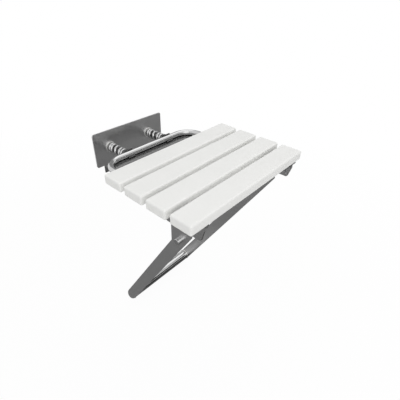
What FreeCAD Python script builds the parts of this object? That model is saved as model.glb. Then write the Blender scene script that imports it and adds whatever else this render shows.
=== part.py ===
import FreeCAD, Part
import math
import os

# Fold down wall seat, lowered, in millimetres.
# +X runs along the slats to the sitter's left, +Y into the wall, +Z up.
# The origin is the centre of the wall plate's back face, on the wall.

# Slats
SLAT_LENGTH = 360.0
SLAT_WIDTH = 49.0
SLAT_THICK = 21.0
SLAT_GAP = 10.8
SLAT_COUNT = 4
SLAT_EDGE_R = 3.5
FOOT_DROP = 477.0            # top of the slats to the foot tube's axis
SEAT_RISE = 36.5             # top of the slats above the plate's centre

# Wall plate and the studs welded to its back
PLATE_WIDTH = 210.0
PLATE_HEIGHT = 86.0
PLATE_THICK = 3.0
PLATE_CORNER_R = 4.0
STUD_D = 8.0
STUD_LENGTH = 40.0
STUD_SPACING_X = 150.0
STUD_SPACING_Z = 36.0
STUD_CHAMFER = 1.0

# Bent tube under the slats, whose cross run is the hinge bar
TUBE_OD = 14.0
TUBE_WALL = 1.5
TUBE_BEND_R = 45.0
SLAT_OVERHANG = 46.0         # a slat's end beyond the axis of a side run
BAR_REACH = 75.0             # plate's front face to the hinge bar's axis
BAR_TO_SLATS = 77.0          # hinge bar's axis to the rear slat's back edge
TUBE_END_SETBACK = 9.0       # front edge of the seat back to the tube's ends
PLUG_HEAD = 2.5
PLUG_STEM = 12.0

# Stand-offs: rod, coil spring, washer and open cradle
STANDOFF_INSET = 29.0        # start of the tube's bends in to a stand-off
STANDOFF_Z = 0.0             # level with the plate's centre
ROD_D = 11.0
WASHER_RIM = 1.25            # beyond the spring
WASHER_THICK = 2.0
SPRING_WIRE_D = 6.0
SPRING_TURNS = 5
SPRING_END_GAP = 0.6         # between the close turns at each end
CRADLE_WIDTH = 18.0
CRADLE_WALL = 1.87
CRADLE_FLANGE_RIM = 0.75     # beyond the spring
CRADLE_FLANGE_THICK = 3.0
CRADLE_NECK_D = 16.0
CRADLE_FLANGE_GAP = 3.25     # hook's back to the flange
CRADLE_MOUTH = 130.0         # degrees left open, towards the front and top
CRADLE_MOUTH_AT = 35.0       # degrees of the mouth's middle above the front
CRADLE_FLOOR = 3.0           # liner to the rod's tip
LINER_THICK = 0.8
LUG_WIDTH = 14.0
LUG_DROP = 20.0
LUG_THICK = 5.0

# Folded channel under the hinge bar
CHANNEL_INSET = 7.5          # its ends in from the axes of the side runs
CHANNEL_DEPTH = 60.0
CHANNEL_DROP = 18.0
CHANNEL_SHEET = 2.5
CHANNEL_BEND_R = 3.0

# Leg
PIN_SETBACK = 71.8           # front edge of the seat back to the leg's pins
PIN_DROP = 11.0              # tube's underside to the pins' axis
PIN_D = 10.0
PIN_HEAD_RIM = 3.0
PIN_HEAD_THICK = 3.0
PIN_GROOVE_DEPTH = 1.0
CLIP_RIM = 2.5               # beyond the pin
CLIP_THICK = 1.0
CLIP_SLOT = 5.0
PIN_TAIL = 1.5
BUSH_WALL = 1.5
BUSH_FLANGE_D = 19.0
BUSH_FLANGE_THICK = 1.6
SPACER_WALL = 2.4
ARM_THICK = 4.0
ARM_HEAD_FRONT = 37.4        # pin to the head's front edge
ARM_FRONT_KINK = 24.0        # pin down to where the front edge turns
ARM_BACK_KINK = 56.0         # pin down to where the back edge turns
ARM_CORNER_R = 5.0
ARM_FOLD_AT = 66.0           # pin along the leg to the crease
NOSE_HALF_LENGTH = 37.0      # of the oval that ends an arm
NOSE_BEHIND_FOOT = 8.0       # foot tube's axis back up the arm to the oval's middle
NOSE_TURN = 4.6              # degrees from the line through pin and foot to the oval's
STRETCHER_D = 12.6
STRETCHER_DROP = 42.4        # pins down to the stretcher's axis
STRETCHER_SETBACK = 9.7      # pins forward to the stretcher's axis
STRETCHER_PROUD = 10.0       # beyond the arms
STRETCHER_CHAMFER = 0.6
FOOT_OD = 30.0
FOOT_WALL = 2.0
FOOT_INSET = 26.2            # each arm's lean towards the seat's centre
FOOT_SETBACK = 228.6         # pins back to the foot's axis

# Brackets and ears that carry the leg's pins
BRACKET_SHEET = 3.0
BRACKET_DROP = 34.0
BRACKET_REAR = 106.0         # front edge of the seat back to the bracket's end
BRACKET_FLANGE = 18.0
BRACKET_NOSE_RAKE = 7.5
BRACKET_NOSE_DROP = 8.0
BRACKET_NOSE_R = 5.0
BRACKET_TAIL_RUN = 13.0
BRACKET_TAIL_LIP = 11.5
BRACKET_TAIL_R = 8.0
BEAD_SETBACK = 10.8
BEAD_R = 3.0
BEAD_PRESS = 2.0
BEAD_GROOVE_R = 1.6
BEAD_TOP_GAP = 6.0
BEAD_BOTTOM_GAP = 6.0
EAR_THICK = 3.2
EAR_LENGTH = 34.0
EAR_CORNER_R = 10.0

# Screws
SCREW_D = 4.8
SCREW_HEAD_D = 9.0
SCREW_HEAD_H = 2.6
SCREW_HEAD_CHAMFER = 1.2
SCREW_BITE = 12.0
BRACKET_SCREW_SETBACKS = (17.4, 87.4)

# Fits
RUN_CLEAR = 0.08             # radial, where a bar or pin turns
HOLE_CLEAR = 0.1             # radial, where a screw or rod stands in its hole
SIDE_CLEAR = 0.7             # beside what swings
END_CLEAR = 0.1              # at each end of a bush or spacer
STOP_CLEAR = 0.2             # at a stop, seat lowered
SPRING_CLEAR = 0.1           # at each end of a spring
SPRING_BORE_CLEAR = 0.75     # radial, around the rod
SWING_CLEAR = 0.6            # channel's cut around a cradle

# Places that follow from the sizes above
SEAT_TOP = SEAT_RISE
SLAT_UNDER = SEAT_TOP - SLAT_THICK
TUBE_R = TUBE_OD / 2
TUBE_HALF_SPAN = SLAT_LENGTH / 2 - SLAT_OVERHANG
STANDOFF_OFFSET = TUBE_HALF_SPAN - TUBE_BEND_R - STANDOFF_INSET
BAR_Z = SLAT_UNDER - TUBE_R
BAR_Y = -PLATE_THICK - BAR_REACH
SLATS_BACK = BAR_Y - BAR_TO_SLATS
SLAT_PITCH = SLAT_WIDTH + SLAT_GAP
SEAT_FRONT = SLATS_BACK - SLAT_COUNT * SLAT_WIDTH - (SLAT_COUNT - 1) * SLAT_GAP
SLAT_MIDDLES = [SLATS_BACK - SLAT_WIDTH / 2 - i * SLAT_PITCH for i in range(SLAT_COUNT)]
TUBE_FRONT = SEAT_FRONT + TUBE_END_SETBACK
TUBE_BOTTOM = BAR_Z - TUBE_R
CHANNEL_BACK = BAR_Y + TUBE_R
CHANNEL_HALF = TUBE_HALF_SPAN - CHANNEL_INSET
LINER_R = TUBE_R + RUN_CLEAR + LINER_THICK
CRADLE_R = LINER_R + CRADLE_WALL
ROD_TIP = BAR_Y + LINER_R + CRADLE_FLOOR
FLANGE_BACK = BAR_Y + CRADLE_R + CRADLE_FLANGE_GAP
FLANGE_FACE = FLANGE_BACK + CRADLE_FLANGE_THICK
WASHER_FACE = -PLATE_THICK - WASHER_THICK
SPRING_MEAN_R = ROD_D / 2 + SPRING_BORE_CLEAR + SPRING_WIRE_D / 2
SPRING_R = SPRING_MEAN_R + SPRING_WIRE_D / 2
SPRING_END_PITCH = SPRING_WIRE_D + SPRING_END_GAP
PIN_Y = SEAT_FRONT + PIN_SETBACK
PIN_Z = TUBE_BOTTOM - PIN_DROP
STRETCHER_Y = PIN_Y - STRETCHER_SETBACK
STRETCHER_Z = PIN_Z - STRETCHER_DROP
FOOT_R = FOOT_OD / 2
FOOT_Y = PIN_Y + FOOT_SETBACK
FOOT_Z = SEAT_TOP - FOOT_DROP
ARM_INNER = TUBE_HALF_SPAN + SCREW_HEAD_D / 2 + SIDE_CLEAR
ARM_MIDDLE = ARM_INNER + ARM_THICK / 2
ARM_OUTER = ARM_INNER + ARM_THICK
FOOT_HALF = ARM_MIDDLE - FOOT_INSET
BRACKET_INNER = ARM_OUTER + BUSH_FLANGE_THICK + 2 * END_CLEAR
BRACKET_OUTER = BRACKET_INNER + BRACKET_SHEET
EAR_OUTER = TUBE_HALF_SPAN - TUBE_R
EAR_INNER = EAR_OUTER - EAR_THICK
ARM_TOP = BAR_Z - math.sqrt(TUBE_R ** 2 - (ARM_INNER - TUBE_HALF_SPAN) ** 2) - STOP_CLEAR

SIDES = {"left": -1.0, "right": 1.0}
X_AXIS = FreeCAD.Vector(1, 0, 0)
Y_AXIS = FreeCAD.Vector(0, 1, 0)
Z_AXIS = FreeCAD.Vector(0, 0, 1)
LONG = 1000.0                # longer than any piece, for cutting blocks


def at(x, y, z):
    return FreeCAD.Vector(x, y, z)


def save(name, *solids):
    """Writes one node: a single solid, or a group of separate ones."""
    shape = solids[0] if len(solids) == 1 else Part.makeCompound(list(solids))
    shape.exportStep(f"parts/{name}.step")
    print(f"{name}: {len(solids)} solid(s), {sum(s.Volume for s in solids) / 1000:.1f} cm3")


def solid_of(shape):
    """The one solid of a shape, with seams between like faces removed."""
    return shape.removeSplitter().Solids[0]


def mirrored(shape):
    return shape.mirror(at(0, 0, 0), X_AXIS)


def pair(name, right_solid):
    """Writes a piece for each side from the one made for +X."""
    save(f"{name}_right", right_solid)
    save(f"{name}_left", mirrored(right_solid))


def rod(radius, start, end):
    axis = end - start
    return Part.makeCylinder(radius, axis.Length, start, axis)


def block(low, high):
    return Part.makeBox(high.x - low.x, high.y - low.y, high.z - low.z, low)


def profile(points):
    """A closed face through points in one plane."""
    return Part.Face(Part.makePolygon(list(points) + [points[0]]))


def edges_along(shape, axis):
    """Straight edges that run along an axis."""
    found = []
    for edge in shape.Edges:
        if isinstance(edge.Curve, Part.Line) and edge.Length > 0:
            if abs(edge.Curve.Direction.dot(axis)) > 0.999:
                found.append(edge)
    return found


# Slats


def slat(middle_y):
    low = at(-SLAT_LENGTH / 2, middle_y - SLAT_WIDTH / 2, SLAT_UNDER)
    high = at(SLAT_LENGTH / 2, middle_y + SLAT_WIDTH / 2, SEAT_TOP)
    body = block(low, high)
    body = body.makeFillet(SLAT_EDGE_R, body.Edges)
    for spot in screw_spots():
        if abs(spot.y - middle_y) < SLAT_WIDTH / 2:
            depth = SCREW_BITE + 2 * HOLE_CLEAR
            body = body.cut(rod(SCREW_D / 2 + HOLE_CLEAR, at(spot.x, spot.y, SLAT_UNDER - 1),
                                at(spot.x, spot.y, SLAT_UNDER + depth)))
    return solid_of(body)


def tube_screw_spots():
    return [at(side * TUBE_HALF_SPAN, y, TUBE_BOTTOM) for y in SLAT_MIDDLES for side in (-1, 1)]


def bracket_screw_spots():
    x = BRACKET_OUTER + BRACKET_FLANGE / 2
    under = SLAT_UNDER - BRACKET_SHEET
    return [at(side * x, SEAT_FRONT + back, under)
            for back in BRACKET_SCREW_SETBACKS for side in (-1, 1)]


def screw_spots():
    return tube_screw_spots() + bracket_screw_spots()


def slat_screw(spot):
    """Pan-headed screw driven up from a spot on the metal's underside."""
    head = Part.makeCylinder(SCREW_HEAD_D / 2, SCREW_HEAD_H, spot, -Z_AXIS)
    rim = [e for e in head.Edges if e.BoundBox.ZMax < spot.z - SCREW_HEAD_H / 2]
    head = head.makeChamfer(SCREW_HEAD_CHAMFER, rim)
    shank = rod(SCREW_D / 2, at(spot.x, spot.y, spot.z - SCREW_HEAD_H / 2),
                at(spot.x, spot.y, SLAT_UNDER + SCREW_BITE))
    return solid_of(head.fuse(shank))


# Bent tube


def tube_core(radius):
    """Solid rod along the tube's axis: two side runs, two bends and the hinge bar."""
    x = TUBE_HALF_SPAN
    bend_y = BAR_Y - TUBE_BEND_R
    core = rod(radius, at(TUBE_BEND_R - x, BAR_Y, BAR_Z), at(x - TUBE_BEND_R, BAR_Y, BAR_Z))
    runs = []
    for side in SIDES.values():
        corner = at(side * x, bend_y, BAR_Z)
        disc = Part.Face(Part.Wire(Part.makeCircle(radius, corner, Y_AXIS)))
        runs.append(rod(radius, at(side * x, TUBE_FRONT, BAR_Z), corner))
        runs.append(disc.revolve(at(side * (x - TUBE_BEND_R), bend_y, BAR_Z), Z_AXIS, side * 90))
    return core.fuse(runs)


def seat_tube():
    tube = tube_core(TUBE_R).cut(tube_core(TUBE_R - TUBE_WALL))
    for spot in tube_screw_spots():
        tube = tube.cut(rod(SCREW_D / 2 + HOLE_CLEAR, at(spot.x, spot.y, TUBE_BOTTOM - 1),
                            at(spot.x, spot.y, SLAT_UNDER + 1)))
    return solid_of(tube)


def tube_plug():
    """Plug in the right-hand end of the tube, with its edge chamfered."""
    x = TUBE_HALF_SPAN
    head = rod(TUBE_R, at(x, TUBE_FRONT, BAR_Z), at(x, TUBE_FRONT - PLUG_HEAD, BAR_Z))
    rim = [e for e in head.Edges if e.BoundBox.YMax < TUBE_FRONT - PLUG_HEAD / 2]
    head = head.makeChamfer(PLUG_HEAD / 2, rim)
    stem = rod(TUBE_R - TUBE_WALL - HOLE_CLEAR, at(x, TUBE_FRONT, BAR_Z),
               at(x, TUBE_FRONT + PLUG_STEM, BAR_Z))
    return solid_of(head.fuse(stem))


# Folded channel under the hinge bar, whose rear flange is the seat's stop


def rear_channel():
    front = CHANNEL_BACK - CHANNEL_DEPTH
    bottom = TUBE_BOTTOM - CHANNEL_DROP
    outer = block(at(-CHANNEL_HALF, front, bottom), at(CHANNEL_HALF, CHANNEL_BACK, TUBE_BOTTOM))
    ridge = [e for e in edges_along(outer, X_AXIS) if e.BoundBox.ZMin > TUBE_BOTTOM - 1]
    outer = outer.makeFillet(CHANNEL_BEND_R, ridge)
    hollow = block(at(-LONG, front + CHANNEL_SHEET, bottom - 1),
                   at(LONG, CHANNEL_BACK - CHANNEL_SHEET, TUBE_BOTTOM - CHANNEL_SHEET))
    channel = outer.cut(hollow)
    for side in SIDES.values():
        middle = side * STANDOFF_OFFSET
        reach = CRADLE_WIDTH / 2 + SIDE_CLEAR
        channel = channel.cut(rod(CRADLE_R + SWING_CLEAR, at(middle - reach, BAR_Y, BAR_Z),
                                  at(middle + reach, BAR_Y, BAR_Z)))
    return solid_of(channel)


# Wall plate, studs and stand-offs


def wall_plate():
    plate = block(at(-PLATE_WIDTH / 2, -PLATE_THICK, -PLATE_HEIGHT / 2),
                  at(PLATE_WIDTH / 2, 0, PLATE_HEIGHT / 2))
    return plate.makeFillet(PLATE_CORNER_R, edges_along(plate, Y_AXIS))


def wall_stud(x, z):
    stud = rod(STUD_D / 2, at(x, 0, z), at(x, STUD_LENGTH, z))
    tip = [e for e in stud.Edges if e.BoundBox.YMin > STUD_LENGTH / 2]
    return stud.makeChamfer(STUD_CHAMFER, tip)


def guide_rod():
    x = STANDOFF_OFFSET
    return rod(ROD_D / 2, at(x, -PLATE_THICK, STANDOFF_Z), at(x, ROD_TIP, STANDOFF_Z))


def spring_washer():
    x = STANDOFF_OFFSET
    disc = rod(SPRING_R + WASHER_RIM, at(x, -PLATE_THICK, STANDOFF_Z), at(x, WASHER_FACE, STANDOFF_Z))
    return disc.cut(rod(ROD_D / 2 + HOLE_CLEAR, at(x, 0, STANDOFF_Z), at(x, WASHER_FACE - 1, STANDOFF_Z)))


def open_ring(outer_r, inner_r, width):
    """Ring around the hinge bar with its mouth cut away."""
    start = at(STANDOFF_OFFSET - width / 2, BAR_Y, BAR_Z)
    end = at(STANDOFF_OFFSET + width / 2, BAR_Y, BAR_Z)
    ring = rod(outer_r, start, end).cut(rod(inner_r, start - X_AXIS, end + X_AXIS))
    half = math.radians(CRADLE_MOUTH / 2)
    middle = math.radians(CRADLE_MOUTH_AT)
    mouth = [at(start.x - 1, BAR_Y, BAR_Z)]
    for turn in (-half, 0, half):
        reach = 4 * CRADLE_R
        mouth.append(at(start.x - 1, BAR_Y - reach * math.cos(middle + turn),
                        BAR_Z + reach * math.sin(middle + turn)))
    return ring.cut(profile(mouth).extrude(X_AXIS * (width + 2)))


def cradle_liner():
    return solid_of(open_ring(LINER_R, TUBE_R + RUN_CLEAR, CRADLE_WIDTH))


def bar_cradle():
    """Hook for the hinge bar on top of a neck, and below the neck the lug that stops the channel."""
    x = STANDOFF_OFFSET
    neck_front = CHANNEL_BACK + STOP_CLEAR
    body = open_ring(CRADLE_R, LINER_R, CRADLE_WIDTH)
    neck = rod(CRADLE_NECK_D / 2, at(x, neck_front, STANDOFF_Z), at(x, FLANGE_BACK, STANDOFF_Z))
    flange = rod(SPRING_R + CRADLE_FLANGE_RIM, at(x, FLANGE_BACK, STANDOFF_Z),
                 at(x, FLANGE_FACE, STANDOFF_Z))
    lug_bottom = BAR_Z - LUG_DROP
    lug = block(at(x - LUG_WIDTH / 2, neck_front, lug_bottom),
                at(x + LUG_WIDTH / 2, neck_front + LUG_THICK, BAR_Z))
    toe = [e for e in edges_along(lug, X_AXIS) if e.BoundBox.ZMax < lug_bottom + 1]
    lug = lug.makeFillet(LUG_THICK / 4, toe)
    body = body.fuse([neck, flange, lug])
    bar_room = rod(LINER_R, at(x - CRADLE_WIDTH, BAR_Y, BAR_Z), at(x + CRADLE_WIDTH, BAR_Y, BAR_Z))
    rod_room = rod(ROD_D / 2 + HOLE_CLEAR, at(x, ROD_TIP - HOLE_CLEAR, STANDOFF_Z), at(x, 0, STANDOFF_Z))
    return solid_of(body.cut(bar_room).cut(rod_room))


# Coil spring, one unbroken wire from the washer to the cradle's flange


def spring_travel(turn):
    """Wire's advance from its start after some turns: close, then open, then close again."""
    free = WASHER_FACE - FLANGE_FACE - SPRING_WIRE_D - 2 * SPRING_CLEAR
    close = 1.0
    open_pitch = (free - SPRING_END_PITCH * (2 * close + 1)) / (SPRING_TURNS - 2 * close - 1)
    steps = ((0, close, SPRING_END_PITCH, SPRING_END_PITCH),
             (close, close + 1, SPRING_END_PITCH, open_pitch),
             (close + 1, SPRING_TURNS - close - 1, open_pitch, open_pitch),
             (SPRING_TURNS - close - 1, SPRING_TURNS - close, open_pitch, SPRING_END_PITCH),
             (SPRING_TURNS - close, SPRING_TURNS, SPRING_END_PITCH, SPRING_END_PITCH))
    travel = 0.0
    for start, end, pitch_in, pitch_out in steps:
        part = min(max(turn - start, 0.0), end - start)
        pitch_now = pitch_in + (pitch_out - pitch_in) * part / (end - start)
        travel += part * (pitch_in + pitch_now) / 2
    return travel


def spring_point(turn):
    """Point on the wire's centre line, round a stand-off at X = 0."""
    angle = 2 * math.pi * turn
    start = WASHER_FACE - SPRING_CLEAR - SPRING_WIRE_D / 2
    return at(SPRING_MEAN_R * math.cos(angle), start - spring_travel(turn),
              STANDOFF_Z + SPRING_MEAN_R * math.sin(angle))


def spring_heading(turn):
    step = 1e-4
    low = max(turn - step, 0.0)
    high = min(turn + step, float(SPRING_TURNS))
    angle = 2 * math.pi * turn
    round_speed = 2 * math.pi * SPRING_MEAN_R
    climb = (spring_travel(high) - spring_travel(low)) / (high - low)
    return at(-round_speed * math.sin(angle), -climb, round_speed * math.cos(angle)).normalize()


def arc_from(start, corner, end):
    """Arc that leaves start and reaches end along the two equal sides of a corner."""
    side = (corner - start).normalize()
    chord = (end - start).normalize()
    weight = side.dot(chord)
    middle = (start + corner * (2 * weight) + end) * (1 / (2 * (1 + weight)))
    return Part.Arc(start, middle, end).toShape()


def two_arcs(start, heading_in, end, heading_out):
    """Two tangent arcs between two points with given headings."""
    span = end - start
    a = 2 * (1 - heading_in.dot(heading_out))
    b = 2 * span.dot(heading_in + heading_out)
    reach = (-b + math.sqrt(b * b + 4 * a * span.dot(span))) / (2 * a)
    corner_in = start + heading_in * reach
    corner_out = end - heading_out * reach
    joint = (corner_in + corner_out) * 0.5
    return [arc_from(start, corner_in, joint), arc_from(joint, corner_out, end)]


def coil_spring(x):
    """Both springs are wound the same way, so they are moved into place, not mirrored."""
    edges = []
    for half_turn in range(2 * SPRING_TURNS):
        a = half_turn / 2
        b = a + 0.5
        edges += two_arcs(spring_point(a), spring_heading(a), spring_point(b), spring_heading(b))
    ring = Part.Wire(Part.makeCircle(SPRING_WIRE_D / 2, spring_point(0), spring_heading(0)))
    wire = Part.Wire(edges).makePipeShell([ring], True, False)
    return wire.Solids[0].translated(at(x, 0, 0))


def report_spring_gap():
    """Least distance between neighbouring turns, measured on points."""
    per_turn = 48
    points = [spring_point(i / per_turn) for i in range(per_turn * SPRING_TURNS + 1)]
    apart = min(points[i].distanceToPoint(points[j])
                for i in range(len(points)) for j in range(i + per_turn // 2, len(points)))
    print(f"spring: {SPRING_TURNS} turns, least gap between turns {apart - SPRING_WIRE_D:.2f} mm")


# Leg


def leg_direction():
    """Unit vector from the pins towards the foot, seen from the side."""
    return at(0, FOOT_Y - PIN_Y, FOOT_Z - PIN_Z).normalize()


def fold_point(x):
    return at(x, PIN_Y, PIN_Z) + leg_direction() * ARM_FOLD_AT


def fold_angle():
    along = at(0, FOOT_Y - PIN_Y, FOOT_Z - PIN_Z).Length - ARM_FOLD_AT
    return math.degrees(math.atan2(ARM_MIDDLE - FOOT_HALF, along))


def flat_foot():
    """Foot's centre on the arm's blank, before the blank is creased."""
    along = at(0, FOOT_Y - PIN_Y, FOOT_Z - PIN_Z).Length - ARM_FOLD_AT
    flat = along / math.cos(math.radians(fold_angle()))
    return fold_point(0) + leg_direction() * flat


def arm_nose(x):
    """Oval that ends an arm's blank, as long as it must be to cover the foot tube."""
    angle = math.atan2(FOOT_Z - PIN_Z, FOOT_Y - PIN_Y) + math.radians(NOSE_TURN)
    along = at(0, math.cos(angle), math.sin(angle))
    across = at(0, along.z, -along.y)
    middle = flat_foot() - along * NOSE_BEHIND_FOOT + at(x, 0, 0)
    return Part.Ellipse(middle + along * NOSE_HALF_LENGTH, middle + across * FOOT_R, middle)


def tangent_to_nose(nose, corner, side):
    """Parameter on the oval where a straight edge from a corner touches it.

    The oval is squeezed along its length to a circle, whose tangents are simple.
    """
    along = nose.XAxis
    across = nose.YAxis
    away = corner - nose.Center
    u = away.dot(along) * nose.MinorRadius / nose.MajorRadius
    v = away.dot(across)
    return math.atan2(v, u) - side * math.acos(nose.MinorRadius / math.hypot(u, v))


def arm_outline(x):
    """Blank of an arm, flat in one plane: head, turned blade and oval nose.

    The head's flat top meets the tube's underside when the leg is down, and its
    round behind the pin lets the leg swing back up to the seat.
    """
    pin = at(x, PIN_Y, PIN_Z)
    round_r = ARM_TOP - PIN_Z
    front = -ARM_HEAD_FRONT
    back_start = pin + at(0, round_r, 0)
    round_middle = pin + at(0, round_r, round_r) * math.sqrt(0.5)
    round_end = pin + at(0, 0, round_r)
    corner_top = pin + at(0, front + ARM_CORNER_R, round_r)
    corner_middle = pin + at(0, front + ARM_CORNER_R, round_r - ARM_CORNER_R) \
        + at(0, -ARM_CORNER_R, ARM_CORNER_R) * math.sqrt(0.5)
    corner_front = pin + at(0, front, round_r - ARM_CORNER_R)
    front_kink = pin + at(0, front, -ARM_FRONT_KINK)
    back_kink = pin + at(0, round_r, -ARM_BACK_KINK)
    nose = arm_nose(x)
    front_touch = tangent_to_nose(nose, front_kink, 1)
    back_touch = tangent_to_nose(nose, back_kink, -1)
    foot_front = nose.value(front_touch)
    foot_back = nose.value(back_touch)
    edges = [
        Part.Arc(back_start, round_middle, round_end).toShape(),
        Part.makeLine(round_end, corner_top),
        Part.Arc(corner_top, corner_middle, corner_front).toShape(),
        Part.makeLine(corner_front, front_kink),
        Part.makeLine(front_kink, foot_front),
        Part.ArcOfEllipse(nose, back_touch, front_touch).toShape(),
        Part.makeLine(foot_back, back_kink),
        Part.makeLine(back_kink, back_start),
    ]
    return Part.Face(Part.Wire(edges))


def below_fold():
    """Block that holds everything further from the pins than the crease."""
    along = leg_direction()
    start = fold_point(0)
    across = at(0, -along.z, along.y)
    corners = [start - across * LONG, start + across * LONG,
               start + across * LONG + along * LONG, start - across * LONG + along * LONG]
    return profile([c - X_AXIS * LONG for c in corners]).extrude(X_AXIS * 2 * LONG)


def folded_in(shape):
    """Turns a shape about the right arm's crease, foot towards the seat's centre."""
    along = leg_direction()
    crease = at(0, -along.z, along.y)
    turned = shape.copy()
    turned.rotate(fold_point(ARM_MIDDLE), crease, fold_angle())
    return turned


def leg_arm():
    blank = arm_outline(ARM_INNER).extrude(X_AXIS * ARM_THICK)
    lower = below_fold()
    along = leg_direction()
    crease = at(0, -along.z, along.y)
    start = fold_point(ARM_MIDDLE)
    head = blank.cut(lower)
    blade = folded_in(blank.common(lower))
    bend = rod(ARM_THICK / 2, start - crease * LONG, start + crease * LONG).common(blank)
    arm = head.fuse([blade, bend])
    pin_hole = rod(PIN_D / 2 + RUN_CLEAR + BUSH_WALL, at(0, PIN_Y, PIN_Z), at(LONG, PIN_Y, PIN_Z))
    stretcher_hole = rod(STRETCHER_D / 2 + HOLE_CLEAR, at(0, STRETCHER_Y, STRETCHER_Z),
                         at(LONG, STRETCHER_Y, STRETCHER_Z))
    return solid_of(arm.cut(pin_hole).cut(stretcher_hole))


def leg_stretcher():
    """Round bar through both arms below the pins, with its ends standing proud."""
    reach = ARM_OUTER + STRETCHER_PROUD
    bar = rod(STRETCHER_D / 2, at(-reach, STRETCHER_Y, STRETCHER_Z), at(reach, STRETCHER_Y, STRETCHER_Z))
    rims = [e for e in bar.Edges if isinstance(e.Curve, Part.Circle)]
    return bar.makeChamfer(STRETCHER_CHAMFER, rims)


def arm_bush():
    bore = PIN_D / 2 + RUN_CLEAR
    sleeve = rod(bore + BUSH_WALL, at(ARM_INNER, PIN_Y, PIN_Z), at(ARM_OUTER + END_CLEAR, PIN_Y, PIN_Z))
    face = ARM_OUTER + END_CLEAR
    flange = rod(BUSH_FLANGE_D / 2, at(face, PIN_Y, PIN_Z), at(face + BUSH_FLANGE_THICK, PIN_Y, PIN_Z))
    room = rod(bore, at(0, PIN_Y, PIN_Z), at(LONG, PIN_Y, PIN_Z))
    return solid_of(sleeve.fuse(flange).cut(room))


def pin_spacer():
    """Sleeve on the pin between the ear and the arm."""
    start = at(EAR_OUTER + END_CLEAR, PIN_Y, PIN_Z)
    end = at(ARM_INNER - END_CLEAR, PIN_Y, PIN_Z)
    room = rod(PIN_D / 2 + HOLE_CLEAR, start - X_AXIS, end + X_AXIS)
    return rod(PIN_D / 2 + HOLE_CLEAR + SPACER_WALL, start, end).cut(room)


def foot_tube():
    """Round tube between the arms' ends, cut to their slant."""
    start = at(-FOOT_HALF * 2, FOOT_Y, FOOT_Z)
    end = at(FOOT_HALF * 2, FOOT_Y, FOOT_Z)
    tube = rod(FOOT_R, start, end).cut(rod(FOOT_R - FOOT_WALL, start, end))
    outside = folded_in(block(at(ARM_INNER, -LONG, -LONG), at(LONG, LONG, LONG)))
    return solid_of(tube.cut(outside).cut(mirrored(outside)))


def leg_pin():
    """Headed pin from outside the bracket to the clip behind the ear."""
    axis = at(0, PIN_Y, PIN_Z)
    tail = EAR_INNER - CLIP_THICK - PIN_TAIL
    shank = rod(PIN_D / 2, axis + X_AXIS * tail, axis + X_AXIS * BRACKET_OUTER)
    head = rod(PIN_D / 2 + PIN_HEAD_RIM, axis + X_AXIS * BRACKET_OUTER,
               axis + X_AXIS * (BRACKET_OUTER + PIN_HEAD_THICK))
    rim = [e for e in head.Edges if e.BoundBox.XMin > BRACKET_OUTER + PIN_HEAD_THICK / 2]
    head = head.makeChamfer(PIN_HEAD_THICK / 3, rim)
    groove_start = axis + X_AXIS * (EAR_INNER - CLIP_THICK)
    groove = rod(PIN_D, groove_start, axis + X_AXIS * EAR_INNER)
    core = rod(PIN_D / 2 - PIN_GROOVE_DEPTH, groove_start - X_AXIS, axis + X_AXIS * (EAR_INNER + 1))
    return solid_of(shank.fuse(head).cut(groove.cut(core)))


def pin_clip():
    axis = at(0, PIN_Y, PIN_Z)
    start = axis + X_AXIS * (EAR_INNER - CLIP_THICK)
    end = axis + X_AXIS * EAR_INNER
    bore = PIN_D / 2 - PIN_GROOVE_DEPTH + HOLE_CLEAR
    ring = rod(PIN_D / 2 + CLIP_RIM, start, end).cut(rod(bore, start - X_AXIS, end + X_AXIS))
    slot = block(at(start.x - 1, PIN_Y - CLIP_SLOT / 2, PIN_Z - PIN_D / 2 - 2 * CLIP_RIM),
                 at(end.x + 1, PIN_Y + CLIP_SLOT / 2, PIN_Z))
    return solid_of(ring.cut(slot))


# Brackets outside the arms and ears inside the tube


def bracket_outline(x):
    top = SLAT_UNDER
    bottom = SLAT_UNDER - BRACKET_DROP
    rear = SEAT_FRONT + BRACKET_REAR
    return [at(x, SEAT_FRONT + 1, top),
            at(x, SEAT_FRONT, top - BRACKET_NOSE_DROP),
            at(x, SEAT_FRONT + BRACKET_NOSE_RAKE, bottom),
            at(x, rear - BRACKET_TAIL_RUN, bottom),
            at(x, rear, top - BRACKET_TAIL_LIP),
            at(x, rear, top)]


def rounded_near(shape, corner, radius):
    """Fillets the edge along X that passes a corner of the outline."""
    near = [e for e in edges_along(shape, X_AXIS)
            if math.hypot(e.CenterOfMass.y - corner.y, e.CenterOfMass.z - corner.z) < 1e-3]
    return shape.makeFillet(radius, near)


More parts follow.
